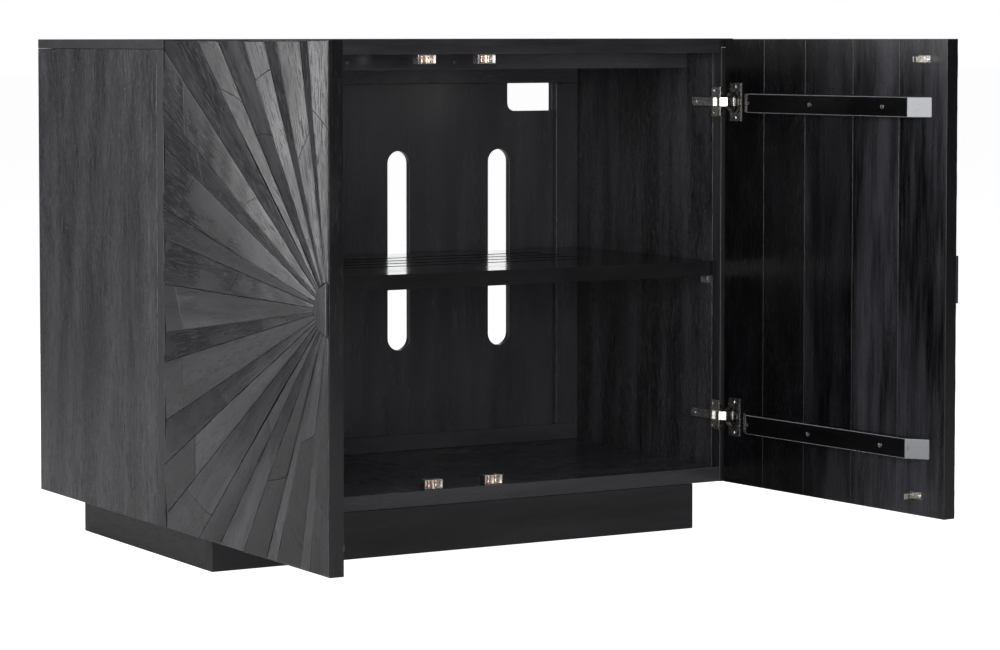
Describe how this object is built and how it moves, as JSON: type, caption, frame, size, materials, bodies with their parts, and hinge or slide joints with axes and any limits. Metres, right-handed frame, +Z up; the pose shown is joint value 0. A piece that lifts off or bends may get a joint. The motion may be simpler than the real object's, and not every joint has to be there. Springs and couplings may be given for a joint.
{
  "type": "media cabinet",
  "caption": "Low two-door media cabinet on a recessed plinth, with carved sunburst doors, a vented shelf and cable slots in the back.",
  "frame": {"origin": "middle of the footprint on the floor, under the plinth brace", "axes": "+X to the right seen from the front, +Y to the wall side, +Z up; the doors are on the -Y side"},
  "size_m": [1.1248, 1.0269, 0.83],
  "materials": {
    "side_wood": "black stained open-pored wood, satin",
    "outside_wood": "black stained wood, satin",
    "plinth_wood": "black stained wood, satin",
    "inside_wood": "black lacquered wood, semi-gloss",
    "shelf_wood": "black lacquered wood, glossy",
    "door_wood": "black lacquered planks, semi-gloss",
    "batten_wood": "black lacquered wood, glossy",
    "carved_wood": "charcoal stained carved wood, satin",
    "nickel": "bright nickel plate",
    "copper": "copper-coloured plate"
  },
  "bodies": {
    "carcass": {"top_panel": "outside_wood", "floor_panel": "inside_wood", "left_side_panel": "side_wood", "right_side_panel": "side_wood", "left_front_lipping": "outside_wood", "right_front_lipping": "outside_wood", "front_top_rail": "inside_wood", "back_panel": "inside_wood", "back_top_rail": "inside_wood", "back_bottom_rail": "inside_wood", "back_left_stile": "inside_wood", "back_right_stile": "inside_wood", "plinth_front": "plinth_wood", "plinth_back": "plinth_wood", "plinth_left": "plinth_wood", "plinth_right": "plinth_wood", "plinth_brace": "inside_wood", "shelf": "shelf_wood", "shelf_support_front_left": "nickel", "shelf_support_rear_left": "nickel", "shelf_support_front_right": "nickel", "shelf_support_rear_right": "nickel", "left_upper_hinge_plate": "nickel", "left_upper_hinge_arm": "nickel", "left_upper_catch_housing": "nickel", "left_lower_hinge_plate": "nickel", "left_lower_hinge_arm": "nickel", "left_lower_catch_housing": "nickel", "right_upper_hinge_plate": "nickel", "right_upper_hinge_arm": "nickel", "right_upper_catch_housing": "nickel", "right_lower_hinge_plate": "nickel", "right_lower_hinge_arm": "nickel", "right_lower_catch_housing": "nickel"},
    "left_door": {"left_door_panel": "door_wood", "left_door_sunburst": "carved_wood", "left_door_hub": "carved_wood", "left_upper_batten": "batten_wood", "left_lower_batten": "batten_wood", "left_upper_hinge_cup": "nickel", "left_lower_hinge_cup": "nickel", "left_upper_strike": "nickel", "left_lower_strike": "nickel"},
    "right_door": {"right_door_panel": "door_wood", "right_door_sunburst": "carved_wood", "right_door_hub": "carved_wood", "right_upper_batten": "batten_wood", "right_lower_batten": "batten_wood", "right_upper_hinge_cup": "nickel", "right_lower_hinge_cup": "nickel", "right_upper_strike": "nickel", "right_lower_strike": "nickel"},
    "left_upper_catch_roller_inner": {"left_upper_catch_roller_inner": "copper"},
    "left_upper_catch_roller_outer": {"left_upper_catch_roller_outer": "copper"},
    "left_lower_catch_roller_inner": {"left_lower_catch_roller_inner": "copper"},
    "left_lower_catch_roller_outer": {"left_lower_catch_roller_outer": "copper"},
    "right_upper_catch_roller_inner": {"right_upper_catch_roller_inner": "copper"},
    "right_upper_catch_roller_outer": {"right_upper_catch_roller_outer": "copper"},
    "right_lower_catch_roller_inner": {"right_lower_catch_roller_inner": "copper"},
    "right_lower_catch_roller_outer": {"right_lower_catch_roller_outer": "copper"}
  },
  "joints": [
    {"name": "left_door_hinge", "type": "hinge", "parent": "carcass", "child": "left_door", "pos_m": [-0.5241, -0.2603, 0.076], "axis": [0, 0, 1], "range_deg": [-15, 90]},
    {"name": "right_door_hinge", "type": "hinge", "parent": "carcass", "child": "right_door", "pos_m": [0.5241, -0.2603, 0.076], "axis": [0, 0, -1], "range_deg": [-10, 95]},
    {"name": "left_upper_catch_roller_inner_slide", "type": "slide", "parent": "carcass", "child": "left_upper_catch_roller_inner", "axis": [1, 0, 0], "range_m": [0, 0.0015], "stiffness_N_per_m": 900, "springref_m": -0.001},
    {"name": "left_upper_catch_roller_outer_slide", "type": "slide", "parent": "carcass", "child": "left_upper_catch_roller_outer", "axis": [-1, 0, 0], "range_m": [0, 0.0015], "stiffness_N_per_m": 900, "springref_m": -0.001},
    {"name": "left_lower_catch_roller_inner_slide", "type": "slide", "parent": "carcass", "child": "left_lower_catch_roller_inner", "axis": [1, 0, 0], "range_m": [0, 0.0015], "stiffness_N_per_m": 900, "springref_m": -0.001},
    {"name": "left_lower_catch_roller_outer_slide", "type": "slide", "parent": "carcass", "child": "left_lower_catch_roller_outer", "axis": [-1, 0, 0], "range_m": [0, 0.0015], "stiffness_N_per_m": 900, "springref_m": -0.001},
    {"name": "right_upper_catch_roller_inner_slide", "type": "slide", "parent": "carcass", "child": "right_upper_catch_roller_inner", "axis": [-1, 0, 0], "range_m": [0, 0.0015], "stiffness_N_per_m": 900, "springref_m": -0.001},
    {"name": "right_upper_catch_roller_outer_slide", "type": "slide", "parent": "carcass", "child": "right_upper_catch_roller_outer", "axis": [1, 0, 0], "range_m": [0, 0.0015], "stiffness_N_per_m": 900, "springref_m": -0.001},
    {"name": "right_lower_catch_roller_inner_slide", "type": "slide", "parent": "carcass", "child": "right_lower_catch_roller_inner", "axis": [-1, 0, 0], "range_m": [0, 0.0015], "stiffness_N_per_m": 900, "springref_m": -0.001},
    {"name": "right_lower_catch_roller_outer_slide", "type": "slide", "parent": "carcass", "child": "right_lower_catch_roller_outer", "axis": [1, 0, 0], "range_m": [0, 0.0015], "stiffness_N_per_m": 900, "springref_m": -0.001}
  ]
}
